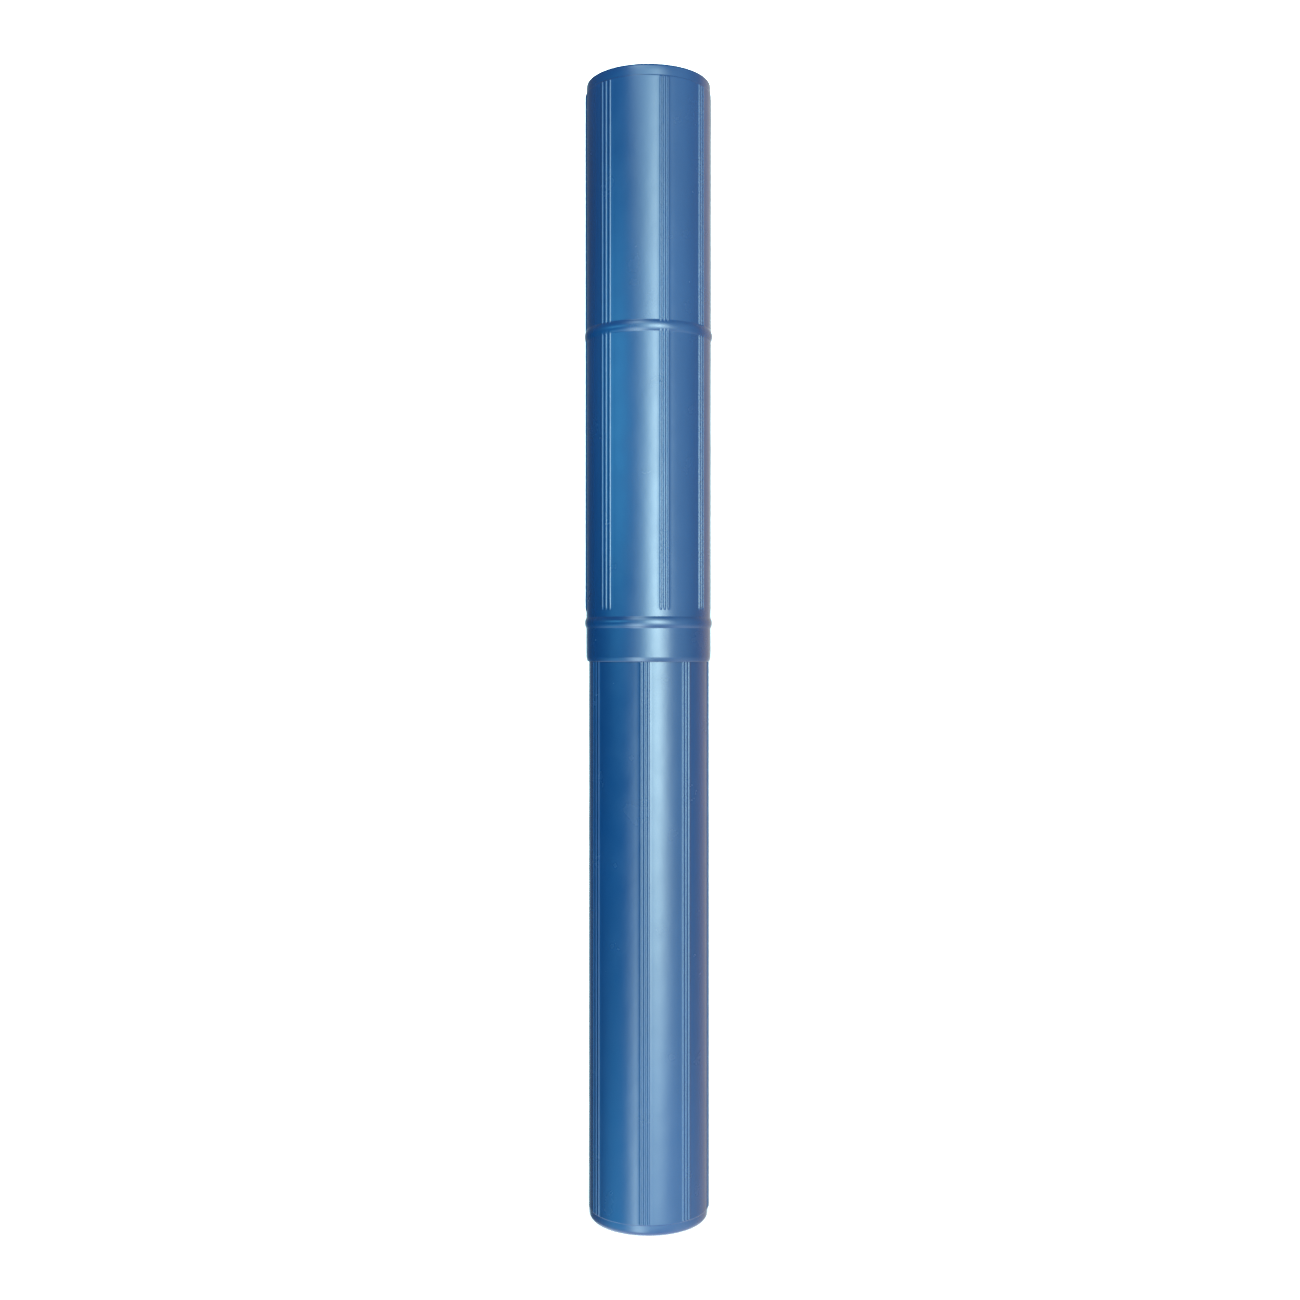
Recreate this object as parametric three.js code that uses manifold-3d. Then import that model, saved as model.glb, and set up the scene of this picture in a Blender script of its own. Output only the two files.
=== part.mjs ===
// Telescopic poster tube: two blow-moulded plastic tubes, each closed at one end.
// The outer tube slides over the inner tube, which stands on its closed end.
// Millimetres, +Z up, -Y is the front. The origin is on the floor, at the centre of the base.

import * as THREE from 'three';
import { mergeVertices } from 'three/addons/utils/BufferGeometryUtils.js';
import Module from 'manifold-3d';

const wasm = await Module();
wasm.setup();

// Walls and fits
const outerRadius = 52.5;
const wall = 1.2;
const boreRadius = outerRadius - wall;
const slideClearance = 0.3; // snap ring to bore
const snapRingHeight = 0.8;
const innerRadius = boreRadius - slideClearance - snapRingHeight;

// Lengths
const outerLength = 482;
const exposedLength = 464; // floor to the outer tube's lip, drawn right out
const mouthAboveRing = 4; // inner tube's mouth above the middle of its snap ring

// Ring beads of the outer tube, measured up from its lip
const lowerBeadHeight = 32;
const upperBeadHeight = 271;
const beadWidth = 9.5;
const beadDepth = 1.2;

// Snap ring of the inner tube, which rests in a bead's hollow
const snapRingWidth = 6;
const innerLength = exposedLength + lowerBeadHeight + mouthAboveRing;

// Closed ends: a rounded edge, a plain band and a small step where the ribbed wall starts
const outerEndEdge = 4;
const innerEndEdge = 6.5;
const endBand = 10;
const bandStep = 0.35;
const stepSlope = 0.5;
const restRingWidth = 8;
const endRecess = 3;
const recessSlope = 4;

// Pinch-off, the weld that the mould leaves across a closed end, inside its recess
const pinchWidth = 1.2;
const pinchHeight = 1.2;
const pinchToSlope = 3;

// Open ends
const lipTurn = 1.0; // how far the outer tube's lip turns in
const lipHeight = 3;
const mouthEdge = 0.5;

// Fine ribs, in groups of three, spread over each half of the mould
const ribHeight = 0.8;
const ribWidth = 2.4;
const ribPitch = 3.0;
const ribsInGroup = 3;
const groupsInHalf = 4;
const groupPitchDeg = 42;
const outerRibsAboveLip = 42; // lower ends of the outer tube's ribs
const innerRibsBelowRing = 6; // upper ends of the inner tube's ribs

// Where each tube's mould line lies, turned from the front
const outerMouldLineDeg = -12.8;
const innerMouldLineDeg = -31;

// Smoothness
const turnSegments = 48;
const outsideArcSteps = 3;
const insideArcSteps = 2;
const ribRoundSegments = 8;
const ribEndSegments = 3;

const halfTurn = Math.PI;
const quarterTurn = Math.PI / 2;
const radians = THREE.MathUtils.degToRad;

// A closed three.js geometry as a solid, with its shared vertices merged
function toSolid(geometry) {
  const positionOnly = geometry.clone();
  positionOnly.deleteAttribute('normal');
  positionOnly.deleteAttribute('uv');
  const merged = mergeVertices(positionOnly, 1e-4);
  const index = merged.index.array;
  const triangles = [];
  for (let i = 0; i < index.length; i += 3) {
    const [a, b, c] = [index[i], index[i + 1], index[i + 2]];
    const flat = a === b || b === c || c === a;
    if (!flat) triangles.push(a, b, c);
  }
  return new wasm.Manifold(new wasm.Mesh({
    numProp: 3,
    vertProperties: new Float32Array(merged.attributes.position.array),
    triVerts: new Uint32Array(triangles),
  }));
}

function toGeometry(solid) {
  const mesh = solid.getMesh();
  const geometry = new THREE.BufferGeometry();
  geometry.setAttribute('position', new THREE.BufferAttribute(mesh.vertProperties, 3));
  geometry.setIndex(new THREE.BufferAttribute(mesh.triVerts, 1));
  geometry.computeVertexNormals();
  return geometry;
}

// A profile of radius and height, turned about +Z
function turned(path, arcSteps) {
  const geometry = new THREE.LatheGeometry(path.getPoints(arcSteps), turnSegments);
  geometry.rotateX(quarterTurn);
  return toSolid(geometry);
}

// The round of a ring that stands out from a wall. Its inside is the same round, set in by a wall.
function ringRound(wallRadius, width, depth) {
  const radius = (width * width / 4 + depth * depth) / (2 * depth);
  return { radius, centre: wallRadius + depth - radius };
}

// Runs the profile up the wall and over a ring. inset is 0 outside, or the wall for the inside.
function runOverRing(path, wallRadius, ring, height, inset) {
  const radius = ring.radius - inset;
  const halfAngle = Math.acos((wallRadius - inset - ring.centre) / radius);
  path.lineTo(wallRadius - inset, height - radius * Math.sin(halfAngle));
  path.absarc(ring.centre, height, radius, -halfAngle, halfAngle, false);
}

// Radius of the flat middle of a closed end's recess
function recessRadius(wallRadius, edge) {
  return wallRadius - bandStep - edge - restRingWidth - recessSlope;
}

// The pinch-off across a closed end's recess, along the mould line
function pinchOff(wallRadius, edge) {
  const length = 2 * (recessRadius(wallRadius, edge) - pinchToSlope);
  const height = pinchHeight + wall / 2;
  const bar = new THREE.BoxGeometry(pinchWidth, length, height);
  return toSolid(bar.translate(0, 0, endRecess - pinchHeight + height / 2));
}

// A closed end seen as the lower end of a tube, from the axis out to the wall at the band's top.
// inset is 0 outside, or the wall for the inside.
function closedEnd(path, wallRadius, edge, inset) {
  const bandRadius = wallRadius - bandStep;
  const recess = recessRadius(wallRadius, edge);
  path.moveTo(0, endRecess + inset);
  path.lineTo(recess, endRecess + inset);
  path.lineTo(recess + recessSlope, inset);
  path.lineTo(bandRadius - edge, inset);
  path.absarc(bandRadius - edge, edge, edge - inset, -quarterTurn, 0, false);
  path.lineTo(bandRadius - inset, endBand - stepSlope);
  path.lineTo(wallRadius - inset, endBand);
}

// Groups of three upright ribs round a tube. Each is a capsule sunk in the wall.
function ribs(wallRadius, low, high) {
  const roundRadius = (ribWidth * ribWidth / 4 + ribHeight * ribHeight) / (2 * ribHeight);
  const sink = roundRadius - ribHeight;
  const straight = high - low - ribWidth;
  const capsule = new THREE.CapsuleGeometry(roundRadius, straight, ribEndSegments, ribRoundSegments);
  capsule.rotateX(quarterTurn);
  capsule.translate(0, sink - wallRadius, (low + high) / 2);
  const pitch = ribPitch / wallRadius;
  let solid = null;
  for (let half = 0; half < 2; half += 1) {
    const middle = quarterTurn + half * halfTurn;
    for (let group = 0; group < groupsInHalf; group += 1) {
      const groupAngle = middle + radians((group - (groupsInHalf - 1) / 2) * groupPitchDeg);
      for (let rib = 0; rib < ribsInGroup; rib += 1) {
        const angle = groupAngle + (rib - (ribsInGroup - 1) / 2) * pitch;
        const one = toSolid(capsule.clone().rotateZ(angle));
        solid = solid ? solid.add(one) : one;
      }
    }
  }
  return solid;
}

// The outer tube's profile has its closed end down, so the finished tube is turned over.
function outerForm(inset) {
  const ring = ringRound(outerRadius, beadWidth, beadDepth);
  const path = new THREE.Path();
  closedEnd(path, outerRadius, outerEndEdge, inset);
  runOverRing(path, outerRadius, ring, outerLength - upperBeadHeight, inset);
  runOverRing(path, outerRadius, ring, outerLength - lowerBeadHeight, inset);
  return path;
}

function outerTube() {
  const outside = outerForm(0);
  outside.lineTo(outerRadius, outerLength - lipHeight);
  outside.absellipse(outerRadius - lipTurn, outerLength - lipHeight, lipTurn, lipHeight, 0, quarterTurn);
  outside.lineTo(0, outerLength);
  const inside = outerForm(wall);
  inside.lineTo(boreRadius, outerLength + wall);
  inside.lineTo(0, outerLength + wall);
  const form = turned(outside, outsideArcSteps)
    .add(ribs(outerRadius, endBand, outerLength - outerRibsAboveLip))
    .add(pinchOff(outerRadius, outerEndEdge));
  return toGeometry(form.subtract(turned(inside, insideArcSteps))).rotateX(halfTurn);
}

function innerForm(inset) {
  const ring = ringRound(innerRadius, snapRingWidth, snapRingHeight);
  const path = new THREE.Path();
  closedEnd(path, innerRadius, innerEndEdge, inset);
  runOverRing(path, innerRadius, ring, innerLength - mouthAboveRing, inset);
  return path;
}

function innerTube() {
  const outside = innerForm(0);
  outside.lineTo(innerRadius, innerLength - mouthEdge);
  outside.lineTo(innerRadius - mouthEdge, innerLength);
  outside.lineTo(0, innerLength);
  const inside = innerForm(wall);
  inside.lineTo(innerRadius - wall, innerLength + wall);
  inside.lineTo(0, innerLength + wall);
  const form = turned(outside, outsideArcSteps)
    .add(ribs(innerRadius, endBand, innerLength - mouthAboveRing - innerRibsBelowRing))
    .add(pinchOff(innerRadius, innerEndEdge));
  return toGeometry(form.subtract(turned(inside, insideArcSteps)));
}

const bluePlastic = new THREE.MeshStandardMaterial({ color: 0x2f68a4, roughness: 0.32, metalness: 0 });

const inner = new THREE.Mesh(innerTube(), bluePlastic);
inner.name = 'inner_tube';
inner.rotation.z = radians(innerMouldLineDeg);

const outer = new THREE.Mesh(outerTube(), bluePlastic.clone());
outer.name = 'outer_tube';
outer.rotation.z = radians(outerMouldLineDeg);
outer.position.z = exposedLength + outerLength;

const posterTube = new THREE.Group();
posterTube.name = 'telescopic_poster_tube';
posterTube.add(inner, outer);

export default posterTube;
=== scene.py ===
"""Looks of the telescopic poster tube: two blow-moulded blue plastic tubes, drawn out and standing."""

import math

import bpy
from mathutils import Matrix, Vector


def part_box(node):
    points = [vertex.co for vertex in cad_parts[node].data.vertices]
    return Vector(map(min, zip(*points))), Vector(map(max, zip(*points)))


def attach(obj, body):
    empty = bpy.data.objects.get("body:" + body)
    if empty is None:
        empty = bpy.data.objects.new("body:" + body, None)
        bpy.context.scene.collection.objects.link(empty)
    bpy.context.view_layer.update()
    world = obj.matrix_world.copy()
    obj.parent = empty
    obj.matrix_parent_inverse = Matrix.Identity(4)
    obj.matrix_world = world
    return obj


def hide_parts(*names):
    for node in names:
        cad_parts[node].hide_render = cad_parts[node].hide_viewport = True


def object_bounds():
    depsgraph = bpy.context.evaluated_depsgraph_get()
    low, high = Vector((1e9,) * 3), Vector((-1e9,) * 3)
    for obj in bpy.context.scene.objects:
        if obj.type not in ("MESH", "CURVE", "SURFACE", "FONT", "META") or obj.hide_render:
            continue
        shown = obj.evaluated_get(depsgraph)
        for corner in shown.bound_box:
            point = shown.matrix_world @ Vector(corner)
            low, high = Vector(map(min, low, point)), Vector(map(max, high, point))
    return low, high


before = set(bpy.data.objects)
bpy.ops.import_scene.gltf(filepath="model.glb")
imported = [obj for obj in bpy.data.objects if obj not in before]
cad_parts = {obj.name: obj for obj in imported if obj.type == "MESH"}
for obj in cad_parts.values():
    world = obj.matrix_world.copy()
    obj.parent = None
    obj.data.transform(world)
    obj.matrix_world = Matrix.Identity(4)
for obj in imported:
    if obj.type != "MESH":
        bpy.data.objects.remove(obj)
cad_low, cad_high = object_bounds()

MM = 0.001
PHOTO_SIDE_PX = 1300

# Sizes in millimetres. Walls, beads, the snap ring and lengths are the solids' own.
WALL = 1.2
BEAD_WIDTH = 9.5
BEAD_DEPTH = 1.2
LOWER_BEAD_HEIGHT = 32
UPPER_BEAD_HEIGHT = 271
SNAP_RING_WIDTH = 6
SNAP_RING_DEPTH = 0.8
MOUTH_ABOVE_RING = 4
OUTER_END_EDGE = 2.6
INNER_END_EDGE = 5
END_BAND = 10
BAND_STEP = 0.35
OUTER_BAND_TAPER = 0.15
INNER_BAND_TAPER = 0.25
STEP_SLOPE = 0.5
REST_RING_WIDTH = 8
END_RECESS = 3
RECESS_SLOPE = 4
PINCH_WIDTH = 1.2
PINCH_HEIGHT = 1.2
PINCH_TO_SLOPE = 3
PINCH_ROUND = 0.35
LIP_TURN = 1.0
LIP_HEIGHT = 4
MOUTH_EDGE = 0.5

# The lip's curve: how far in, as a share of LIP_TURN, and how far along, as a share of LIP_HEIGHT
LIP_PROFILE = [
    (0, 0), (0.03, 0.1), (0.12, 0.22), (0.3, 0.42), (0.5, 0.62), (0.7, 0.8), (0.84, 0.9), (1, 0.96),
    (1.2, 1),
]

# The pinch-off bar's ends, as shares of its width and height
PINCH_END_WIDTH = 0.625
PINCH_END_HEIGHT = 0.7

# Ribs. The last group of each half has its ribs wider apart.
RIBS_IN_GROUP = 3
GROUPS_IN_HALF = 4
OUTER_RIBS_ABOVE_LIP = 42
INNER_RIBS_BELOW_RING = 6
CLOSED_END_NOSE = 0.8  # run-out of a rib towards the closed end
OUTER_OPEN_END_NOSE = 4.0
INNER_OPEN_END_NOSE = 2.0
RIB_HEIGHT = 0.6
RIB_WIDTH = 2.4
RIB_FLANK = 0.7  # share of a rib's half width that its flank takes
RIB_PITCH = 3.0
WIDE_RIB_PITCH = 4.2
GROUP_PITCH_DEG = 41.5
OUTER_MOULD_LINE_DEG = -13.5
INNER_MOULD_LINE_DEG = -31.3

# Fineness of the meshes
CLOSE_ROWS = (0.25, 1, 3)  # heights from both ends of a plain wall
RIB_END_ROW_SPACING = 0.6
RIB_END_ROWS = 6  # on each side of a rib's end
RIB_COLUMNS = 16
GAP_COLUMNS = 14
ARC_STEPS = 12
INSIDE_ARC_STEPS = 5
ROW_SPACING = 12
INSIDE_ROW_SPACING = 60


# Outlines

def arc(centre_r, centre_z, radius, start, end, steps):
    """Points of an arc in the radius and height plane, angles in degrees."""
    points = []
    for i in range(steps + 1):
        angle = math.radians(start + (end - start) * i / steps)
        points.append((centre_r + radius * math.cos(angle), centre_z + radius * math.sin(angle)))
    return points


def arc_steps(inset):
    """Arcs inside a tube, where they are hardly seen, have fewer steps."""
    return INSIDE_ARC_STEPS if inset > 0 else ARC_STEPS


def ring(wall_radius, width, depth, height, inset):
    """The round of a ring on a wall, going up. inset is 0 outside, or the wall for the inside."""
    round_radius = (width * width / 4 + depth * depth) / (2 * depth)
    centre = wall_radius + depth - round_radius
    radius = round_radius - inset
    half = math.degrees(math.acos((wall_radius - inset - centre) / radius))
    return arc(centre, height, radius, -half, half, arc_steps(inset))


def recess_radius(wall_radius, edge):
    """Radius of the flat middle of a closed end's recess."""
    return wall_radius - BAND_STEP - edge - REST_RING_WIDTH - RECESS_SLOPE


def closed_end(wall_radius, edge, taper, inset):
    """From the axis of a closed end out to the wall, the end lying at height 0."""
    band_radius = wall_radius - BAND_STEP
    recess = recess_radius(wall_radius, edge)
    points = [(recess * share, END_RECESS + inset) for share in (0.1, 0.4, 0.7, 0.9)]
    steps = arc_steps(inset)
    points += slope(recess, END_RECESS + inset, recess + RECESS_SLOPE, inset, steps // 2)
    points += arc(band_radius - edge - taper, edge, edge - inset, -90, -6, steps)
    points.append((band_radius - inset - taper / 2, (edge + END_BAND) / 2 - STEP_SLOPE))
    points.append((band_radius - inset, END_BAND - 2 * STEP_SLOPE))
    points += slope(band_radius - inset, END_BAND - STEP_SLOPE, wall_radius - inset, END_BAND, steps // 2)
    points.append((wall_radius - inset, END_BAND + STEP_SLOPE))
    return points


def slope(r0, z0, r1, z1, steps):
    """A step from one point to another that leaves and meets level ground smoothly."""
    points = []
    for i in range(steps + 1):
        t = i / steps
        blend = t * t * (3 - 2 * t)
        if abs(r1 - r0) > abs(z1 - z0):
            points.append((r0 + (r1 - r0) * t, z0 + (z1 - z0) * blend))
        else:
            points.append((r0 + (r1 - r0) * blend, z0 + (z1 - z0) * t))
    return points


def rows_up(radius, low, high, ends, inset):
    """Rows of a plain wall, close by both ends and, outside, close together at the listed heights."""
    heights = {low + away for away in CLOSE_ROWS} | {high - away for away in CLOSE_ROWS}
    spacing = ROW_SPACING
    if inset > 0:
        heights = {low + 1, high - 1}
        ends = ()
        spacing = INSIDE_ROW_SPACING
    count = max(1, round((high - low) / spacing))
    for i in range(1, count):
        heights.add(low + (high - low) * i / count)
    for end in ends:
        for i in range(-RIB_END_ROWS, RIB_END_ROWS + 1):
            heights.add(end + RIB_END_ROW_SPACING * i)
    return [(radius - inset, z) for z in sorted(heights) if low < z < high]


# Ribs

def rib_angles(mould_line_deg, wall_radius):
    """Middle of every rib, in radians from +X."""
    angles = []
    for half in range(2):
        middle = math.radians(mould_line_deg) + math.pi * half
        for group in range(GROUPS_IN_HALF):
            centre = middle + math.radians((group - (GROUPS_IN_HALF - 1) / 2) * GROUP_PITCH_DEG)
            pitch = WIDE_RIB_PITCH if group == GROUPS_IN_HALF - 1 else RIB_PITCH
            for rib in range(RIBS_IN_GROUP):
                angles.append(centre + (rib - (RIBS_IN_GROUP - 1) / 2) * pitch / wall_radius)
    return angles


def columns(angles, wall_radius):
    """Angles of the mesh's columns, each with the rib height there from 0 to 1."""
    half = RIB_WIDTH / 2 / wall_radius
    found = []
    for angle in angles:
        for i in range(RIB_COLUMNS + 1):
            u = -1 + 2 * i / RIB_COLUMNS
            rise = min(1.0, (1 - abs(u)) / RIB_FLANK)
            found.append((angle + u * half, rise * rise * (3 - 2 * rise)))
    found.sort()
    full = []
    for i, (angle, height) in enumerate(found):
        full.append((angle, height))
        following = found[(i + 1) % len(found)][0] + (2 * math.pi if i + 1 == len(found) else 0)
        gap = following - angle
        if gap > 4 * half:
            full += [(angle + gap * k / GAP_COLUMNS, 0.0) for k in range(1, GAP_COLUMNS)]
    return full


def rib_share(z, low, high, low_nose, high_nose):
    """How much of its height a rib has at a height on the tube."""
    if z <= low or z >= high:
        return 0.0
    share = 1.0
    for away, nose in ((z - low, low_nose), (high - z, high_nose)):
        if away < nose:
            share = min(share, math.sqrt(1 - (1 - away / nose) ** 2))
    return share


# Meshes

def tube(name, outside, inside, wall_radius, mould_line_deg, ribs, closed_z, upward):
    """A shell from an outside and an inside outline, which run from the axis to the open end.
    closed_z is the height of the closed end, and upward is 1 if the outlines run up from it, or -1."""
    cols = columns(rib_angles(mould_line_deg, wall_radius), wall_radius)
    vertices = []
    faces = []

    def lay(points, ribbed):
        start = len(vertices)
        for r, z in points:
            share = rib_share(z, *ribs) if ribbed else 0.0
            for angle, height in cols:
                out = r
                if share > 0 and height > 0:
                    out = max(r, wall_radius + RIB_HEIGHT * height * share)
                vertices.append((out * math.cos(angle), out * math.sin(angle), closed_z + upward * z))
        return start

    def skin(start, count, flip):
        wide = len(cols)
        for row in range(count - 1):
            for i in range(wide):
                j = (i + 1) % wide
                a, b = start + row * wide + i, start + row * wide + j
                c, d = a + wide, b + wide
                faces.append((a, c, d, b) if flip else (a, b, d, c))

    outer_start = lay(outside, True)
    skin(outer_start, len(outside), False)
    inner_start = lay(inside, False)
    skin(inner_start, len(inside), True)
    wide = len(cols)
    last_out = outer_start + (len(outside) - 1) * wide
    last_in = inner_start + (len(inside) - 1) * wide
    for i in range(wide):
        j = (i + 1) % wide
        faces.append((last_out + i, last_out + j, last_in + j, last_in + i))
    for start, outline, flip in ((outer_start, outside, False), (inner_start, inside, True)):
        middle = len(vertices)
        vertices.append((0, 0, closed_z + upward * outline[0][1]))
        for i in range(wide):
            j = (i + 1) % wide
            faces.append((start + i, start + j, middle) if flip else (start + j, start + i, middle))
    mesh = bpy.data.meshes.new(name)
    if upward < 0:
        faces = [tuple(reversed(face)) for face in faces]
    mesh.from_pydata([Vector(v) * MM for v in vertices], [], faces)
    mesh.validate()
    mesh.update()
    shell = bpy.data.objects.new(name, mesh)
    bpy.context.scene.collection.objects.link(shell)
    for face in mesh.polygons:
        face.use_smooth = True
    return shell


def pinch_off(name, half_length, mould_line_deg, recess_z, outward):
    """The weld across a closed end, a rounded bar along the mould line with its foot in the wall.
    outward is 1 if it stands up from the recess, or -1 if it hangs from it."""
    corner = PINCH_WIDTH / 2 - PINCH_ROUND
    shoulder = PINCH_HEIGHT - PINCH_ROUND
    outline = [(-PINCH_WIDTH / 2, -WALL / 2)]
    outline += arc(-corner, shoulder, PINCH_ROUND, 180, 112.5, 3)
    outline.append((0, PINCH_HEIGHT))
    outline += arc(corner, shoulder, PINCH_ROUND, 67.5, 0, 3)
    outline.append((PINCH_WIDTH / 2, -WALL / 2))
    turn = math.radians(mould_line_deg)
    stations = [
        (-half_length, PINCH_END_WIDTH, PINCH_END_HEIGHT),
        (PINCH_ROUND - half_length, 1, 1),
        (half_length - PINCH_ROUND, 1, 1),
        (half_length, PINCH_END_WIDTH, PINCH_END_HEIGHT),
    ]
    vertices = []
    for y, width_share, height_share in stations:
        for x, up in outline:
            across = x * width_share
            height = up if up < 0 else up * height_share
            vertices.append((
                across * math.cos(turn) - y * math.sin(turn),
                across * math.sin(turn) + y * math.cos(turn),
                recess_z + outward * height,
            ))
    wide = len(outline)
    faces = [tuple(range(wide)), tuple(reversed(range(wide * 3, wide * 4)))]
    for row in range(len(stations) - 1):
        for i in range(wide):
            j = (i + 1) % wide
            faces.append((row * wide + j, row * wide + i, (row + 1) * wide + i, (row + 1) * wide + j))
    if outward < 0:
        faces = [tuple(reversed(face)) for face in faces]
    mesh = bpy.data.meshes.new(name)
    mesh.from_pydata([Vector(v) * MM for v in vertices], [], faces)
    mesh.validate()
    bar = bpy.data.objects.new(name, mesh)
    bpy.context.scene.collection.objects.link(bar)
    return bar


def outer_tube_piece(wall_radius, lip_z, top_z):
    """The upper tube. Its outline runs down from its closed top to its lip."""
    length = top_z - lip_z
    wall_end = length - LIP_HEIGHT
    upper = length - UPPER_BEAD_HEIGHT
    lower = length - LOWER_BEAD_HEIGHT
    rib_end = length - OUTER_RIBS_ABOVE_LIP
    outlines = []
    for inset in (0, WALL):
        points = closed_end(wall_radius, OUTER_END_EDGE, OUTER_BAND_TAPER, inset)
        beads = [ring(wall_radius, BEAD_WIDTH, BEAD_DEPTH, z, inset) for z in (upper, lower)]
        low = points[-1][1]
        for bead in beads:
            points += rows_up(wall_radius, low, bead[0][1], (low, rib_end), inset)
            points += bead
            low = bead[-1][1]
        points += rows_up(wall_radius, low, wall_end, (), inset)
        outlines.append(points)
    outside, inside = outlines
    outside += [(wall_radius - LIP_TURN * share, wall_end + LIP_HEIGHT * up) for share, up in LIP_PROFILE]
    inside.append((wall_radius - WALL, wall_end))
    inside.append((wall_radius - WALL, length))
    ribs = (END_BAND, rib_end, CLOSED_END_NOSE, OUTER_OPEN_END_NOSE)
    return tube(
        "outer_tube_shell", outside, inside, wall_radius, OUTER_MOULD_LINE_DEG, ribs, top_z, -1,
    )


def inner_tube_piece(wall_radius, mouth_z):
    """The lower tube. Its outline runs up from its closed base to its mouth."""
    ring_middle = mouth_z - MOUTH_ABOVE_RING
    rib_end = ring_middle - INNER_RIBS_BELOW_RING
    outlines = []
    for inset in (0, WALL):
        points = closed_end(wall_radius, INNER_END_EDGE, INNER_BAND_TAPER, inset)
        snap = ring(wall_radius, SNAP_RING_WIDTH, SNAP_RING_DEPTH, ring_middle, inset)
        low = points[-1][1]
        points += rows_up(wall_radius, low, snap[0][1], (low, rib_end), inset)
        points += snap
        outlines.append(points)
    outside, inside = outlines
    outside.append((wall_radius, mouth_z - MOUTH_EDGE))
    outside.append((wall_radius - MOUTH_EDGE, mouth_z))
    inside.append((wall_radius - WALL, mouth_z))
    ribs = (END_BAND, rib_end, CLOSED_END_NOSE, INNER_OPEN_END_NOSE)
    return tube(
        "inner_tube_shell", outside, inside, wall_radius, INNER_MOULD_LINE_DEG, ribs, 0, 1,
    )


outer_low, outer_high = (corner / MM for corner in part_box("outer_tube"))
inner_low, inner_high = (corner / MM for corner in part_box("inner_tube"))
outer_wall_radius = min(outer_high.x, outer_high.y) - BEAD_DEPTH
inner_wall_radius = min(inner_high.x, inner_high.y) - SNAP_RING_DEPTH

outer_shell = outer_tube_piece(outer_wall_radius, outer_low.z, outer_high.z)
inner_shell = inner_tube_piece(inner_wall_radius, inner_high.z)
outer_pinch = pinch_off(
    "outer_tube_pinch_off", recess_radius(outer_wall_radius, OUTER_END_EDGE) - PINCH_TO_SLOPE,
    OUTER_MOULD_LINE_DEG, outer_high.z - END_RECESS, 1,
)
inner_pinch = pinch_off(
    "inner_tube_pinch_off", recess_radius(inner_wall_radius, INNER_END_EDGE) - PINCH_TO_SLOPE,
    INNER_MOULD_LINE_DEG, END_RECESS, -1,
)
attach(outer_shell, "outer")
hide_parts("outer_tube")
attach(inner_shell, "inner")
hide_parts("inner_tube")
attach(outer_pinch, "outer")
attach(inner_pinch, "inner")
pieces = (outer_shell, inner_shell, outer_pinch, inner_pinch)


# Material

def plastic(name):
    """Satin blue moulded plastic: uneven sheen, faint mottling and a soft waviness of the wall."""
    material = bpy.data.materials.new(name)
    material.use_nodes = True
    nodes, links = material.node_tree.nodes, material.node_tree.links
    shader = nodes["Principled BSDF"]
    shader.inputs["IOR"].default_value = 1.5
    shader.inputs["Specular IOR Level"].default_value = 0.6
    place = nodes.new("ShaderNodeTexCoord")

    def noise(scale, detail, stretch=(1, 1, 1)):
        mapping = nodes.new("ShaderNodeMapping")
        mapping.inputs["Scale"].default_value = stretch
        links.new(place.outputs["Object"], mapping.inputs["Vector"])
        texture = nodes.new("ShaderNodeTexNoise")
        texture.inputs["Scale"].default_value = scale
        texture.inputs["Detail"].default_value = detail
        links.new(mapping.outputs["Vector"], texture.inputs["Vector"])
        return texture.outputs["Fac"]

    tint = nodes.new("ShaderNodeValToRGB")
    tint.color_ramp.elements[0].position = 0.35
    tint.color_ramp.elements[0].color = (0.0009, 0.0205, 0.0715, 1)
    tint.color_ramp.elements[1].position = 0.65
    tint.color_ramp.elements[1].color = (0.0014, 0.0265, 0.0885, 1)
    links.new(noise(9, 3, (1, 1, 0.35)), tint.inputs["Fac"])
    links.new(tint.outputs["Color"], shader.inputs["Base Color"])

    sheen = nodes.new("ShaderNodeMapRange")
    sheen.inputs["From Min"].default_value = 0.3
    sheen.inputs["From Max"].default_value = 0.7
    sheen.inputs["To Min"].default_value = 0.21
    sheen.inputs["To Max"].default_value = 0.28
    links.new(noise(45, 4), sheen.inputs["Value"])
    links.new(sheen.outputs["Result"], shader.inputs["Roughness"])

    wave = nodes.new("ShaderNodeBump")
    wave.inputs["Strength"].default_value = 0.5
    wave.inputs["Distance"].default_value = 0.0004
    links.new(noise(55, 2, (1, 1, 0.6)), wave.inputs["Height"])
    grain = nodes.new("ShaderNodeBump")
    grain.inputs["Strength"].default_value = 0.25
    grain.inputs["Distance"].default_value = 0.00005
    links.new(noise(900, 2), grain.inputs["Height"])
    links.new(wave.outputs["Normal"], grain.inputs["Normal"])
    links.new(grain.outputs["Normal"], shader.inputs["Normal"])
    return material


blue = plastic("blue_plastic")
for piece in pieces:
    piece.data.materials.append(blue)


# Stage, camera and light

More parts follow.
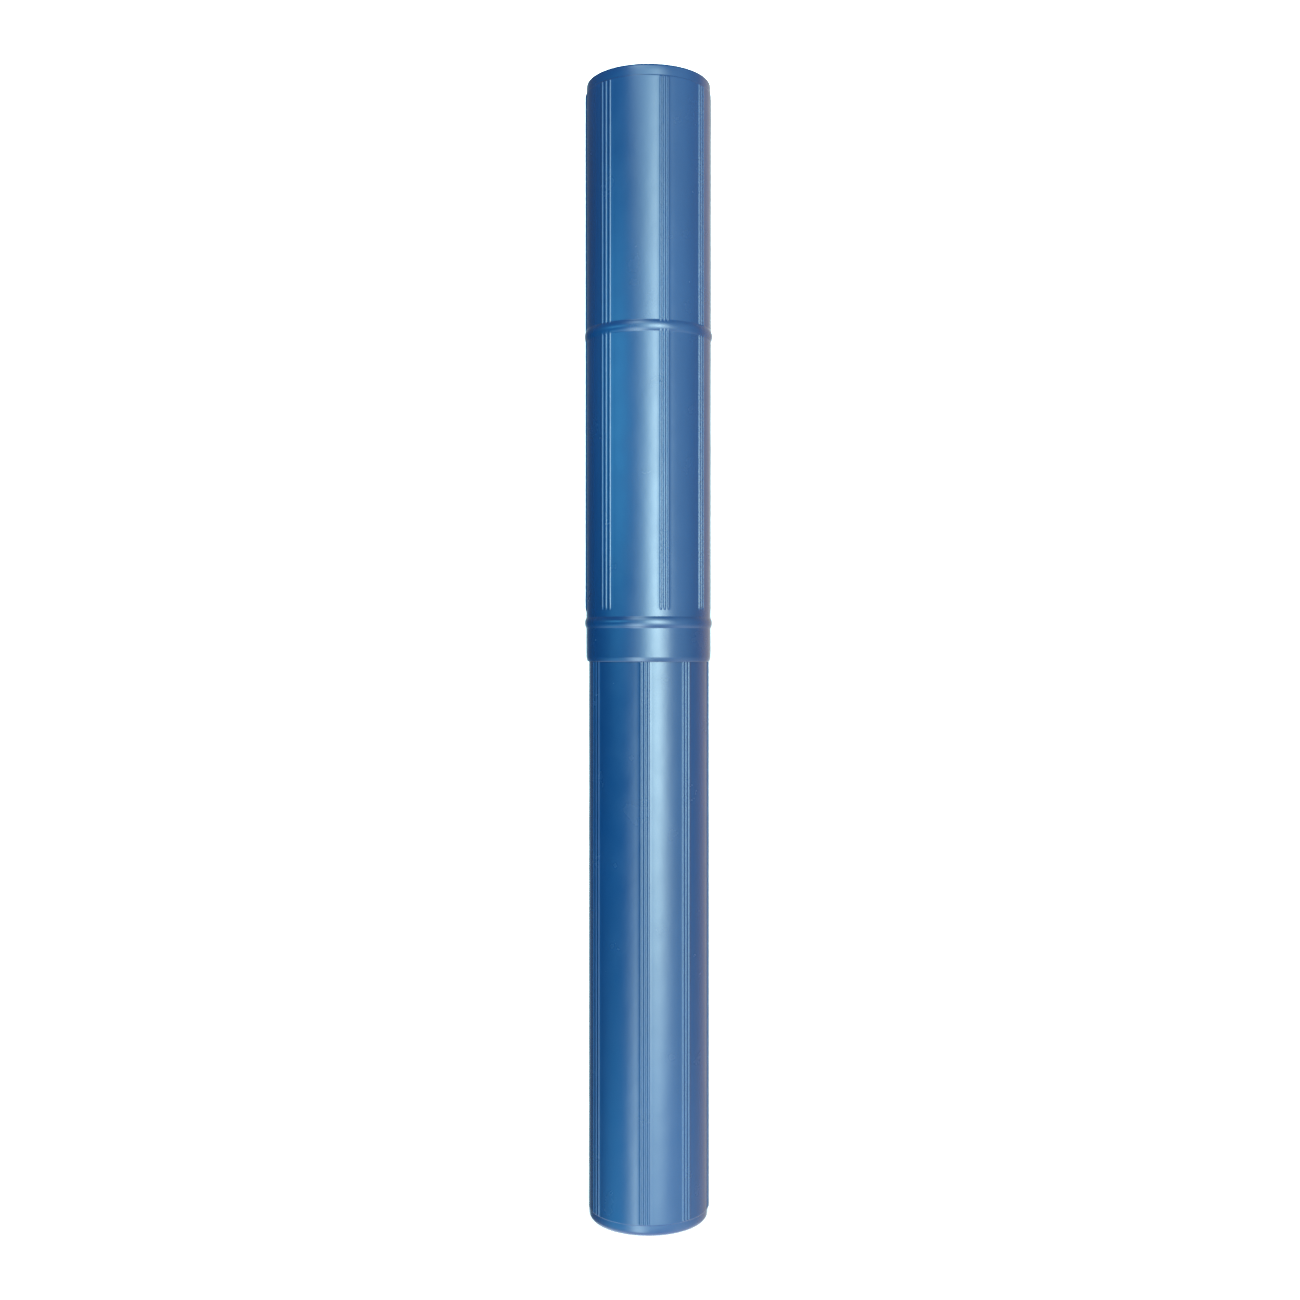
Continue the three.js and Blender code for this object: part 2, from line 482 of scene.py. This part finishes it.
# Soft boxes round the tube as seen from it: degrees right of the camera, degrees up, the half
# width and half height in degrees at half strength, the strength and the colour
SOFT_BOXES = [
    (17, 2, 13, 14.5, 13.6, (0.73, 0.98, 0.98)),
    (4, 6, 20, 24, 5.0, (0.55, 0.95, 1.0)),
    (-20, -28, 14, 13, 8.5, (0.72, 0.98, 1.0)),
    (-56, 8.5, 20, 5, 5.8, (0.15, 0.68, 1.0)),
    (36, -9, 12, 9, 2.3, (0.70, 0.98, 1.0)),
    (-62, -25, 24, 9, 2.8, (0.15, 0.68, 1.0)),
    (-20, 38, 14, 12, 6.0, (0.70, 0.98, 1.0)),
    (58, 0, 24, 40, 1.8, (0.6, 0.92, 1.0)),
    (75, -32, 40, 12, 1.4, (0.8, 0.95, 1.0)),
    (135, 0, 30, 40, 1.0, (1.0, 0.82, 0.68)),
    (180, -6, 12, 20, 6.5, (0.70, 0.98, 1.0)),
    (180, -4, 19, 30, 1.2, (0.60, 0.92, 1.0)),
    (-100, -52, 60, 16, 1.2, (0.6, 0.92, 1.0)),
]
OVERALL = 0.03
OVERHEAD = 0.3
UNDERFOOT = 4.0  # light that a pale floor would throw up
UNDERFOOT_DEPTH = 0.4  # where it starts, as the downward part of a direction
HALVING = -0.693  # the natural logarithm of a half
PAPER_GLOW = 0.7


def studio():
    """The world: soft boxes as smooth spots of light, over a faint even light from all round."""
    world = bpy.data.worlds.new("studio")
    world.use_nodes = True
    nodes, links = world.node_tree.nodes, world.node_tree.links

    def maths(operation, a, b=0.0, c=0.0):
        node = nodes.new("ShaderNodeMath")
        node.operation = operation
        for socket, value in zip(node.inputs, (a, b, c)):
            if isinstance(value, (int, float)):
                socket.default_value = value
            else:
                links.new(value, socket)
        return node.outputs["Value"]

    place = nodes.new("ShaderNodeTexCoord")
    split = nodes.new("ShaderNodeSeparateXYZ")
    links.new(place.outputs["Generated"], split.inputs["Vector"])
    x, y, z = split.outputs
    azimuth = maths("DEGREES", maths("ARCTAN2", x, maths("MULTIPLY", y, -1)))
    elevation = maths("DEGREES", maths("ARCSINE", z))

    glow = None
    for right, up, half_width, half_height, strength, colour in SOFT_BOXES:
        aside = maths("WRAP", maths("SUBTRACT", azimuth, right), 180, -180)
        across = maths("POWER", maths("DIVIDE", maths("ABSOLUTE", aside), half_width), 2)
        above = maths("ABSOLUTE", maths("SUBTRACT", elevation, up))
        along = maths("POWER", maths("DIVIDE", above, half_height), 2)
        share = maths("EXPONENT", maths("MULTIPLY", maths("ADD", across, along), HALVING))
        box = nodes.new("ShaderNodeVectorMath")
        box.operation = "SCALE"
        box.inputs["Vector"].default_value = [strength * part for part in colour]
        links.new(share, box.inputs["Scale"])
        if glow is None:
            glow = box.outputs["Vector"]
        else:
            total = nodes.new("ShaderNodeVectorMath")
            total.operation = "ADD"
            links.new(glow, total.inputs[0])
            links.new(box.outputs["Vector"], total.inputs[1])
            glow = total.outputs["Vector"]
    even = maths("MULTIPLY_ADD", maths("MAXIMUM", z, 0.0), OVERHEAD, OVERALL)
    depth = maths("MAXIMUM", maths("SUBTRACT", maths("MULTIPLY", z, -1), UNDERFOOT_DEPTH), 0.0)
    even = maths("MULTIPLY_ADD", depth, UNDERFOOT, even)
    total = nodes.new("ShaderNodeVectorMath")
    total.operation = "ADD"
    links.new(glow, total.inputs[0])
    links.new(even, total.inputs[1])
    links.new(total.outputs["Vector"], nodes["Background"].inputs["Color"])
    bpy.context.scene.world = world


def backdrop():
    """A round pale floor that sweeps up into a wall all round. Only the camera sees it: the light
    and the reflections come from the studio's own soft boxes."""
    flat, bend, top, sides, bend_steps = 3.0, 1.5, 5.0, 96, 16
    outline = [(flat * i / 4, 0) for i in range(1, 5)]
    for i in range(1, bend_steps + 1):
        angle = math.pi / 2 * i / bend_steps
        outline.append((flat + bend * math.sin(angle), bend - bend * math.cos(angle)))
    outline.append((flat + bend, top))
    vertices = [(0, 0, 0)]
    for r, z in outline:
        vertices += [(r * math.cos(math.tau * i / sides), r * math.sin(math.tau * i / sides), z)
                     for i in range(sides)]
    faces = [(0, 1 + i, 1 + (i + 1) % sides) for i in range(sides)]
    for row in range(len(outline) - 1):
        for i in range(sides):
            a, b = 1 + row * sides + i, 1 + row * sides + (i + 1) % sides
            faces.append((a, a + sides, b + sides, b))
    mesh = bpy.data.meshes.new("backdrop")
    mesh.from_pydata(vertices, [], faces)
    for face in mesh.polygons:
        face.use_smooth = True
    sweep = bpy.data.objects.new("backdrop", mesh)
    bpy.context.scene.collection.objects.link(sweep)
    sweep.visible_glossy = sweep.visible_diffuse = sweep.visible_shadow = False
    paper = bpy.data.materials.new("paper")
    paper.use_nodes = True
    shader = paper.node_tree.nodes["Principled BSDF"]
    shader.inputs["Base Color"].default_value = (0.9, 0.9, 0.9, 1)
    shader.inputs["Roughness"].default_value = 1
    shader.inputs["Specular IOR Level"].default_value = 0
    shader.inputs["Emission Color"].default_value = (1, 1, 1, 1)
    shader.inputs["Emission Strength"].default_value = PAPER_GLOW
    mesh.materials.append(paper)


backdrop()

# Camera, nearly level with the middle of the tube as in the photograph
TUBE_SCALE_PX = 62.6  # the outer tube's radius at its axis
CAMERA_DISTANCE_RADII = 24.4
TUBE_AXIS_PX = 648.5
CAMERA_LIFT = 0.6 * MM  # above the middle of the tube
SENSOR = 36
middle = (cad_low.z + cad_high.z) / 2
distance = CAMERA_DISTANCE_RADII * outer_wall_radius * MM
focal_px = TUBE_SCALE_PX * CAMERA_DISTANCE_RADII
aside = (PHOTO_SIDE_PX / 2 - TUBE_AXIS_PX) / TUBE_SCALE_PX * outer_wall_radius * MM
camera_data = bpy.data.cameras.new("camera")
camera_data.sensor_width = SENSOR
camera_data.lens = SENSOR * focal_px / PHOTO_SIDE_PX
camera = bpy.data.objects.new("camera", camera_data)
camera.location = (aside, -distance, middle + CAMERA_LIFT)
camera.rotation_euler = (math.radians(90), 0, 0)
bpy.context.scene.collection.objects.link(camera)
bpy.context.scene.camera = camera

studio()
bpy.context.scene.view_settings.view_transform = "Standard"
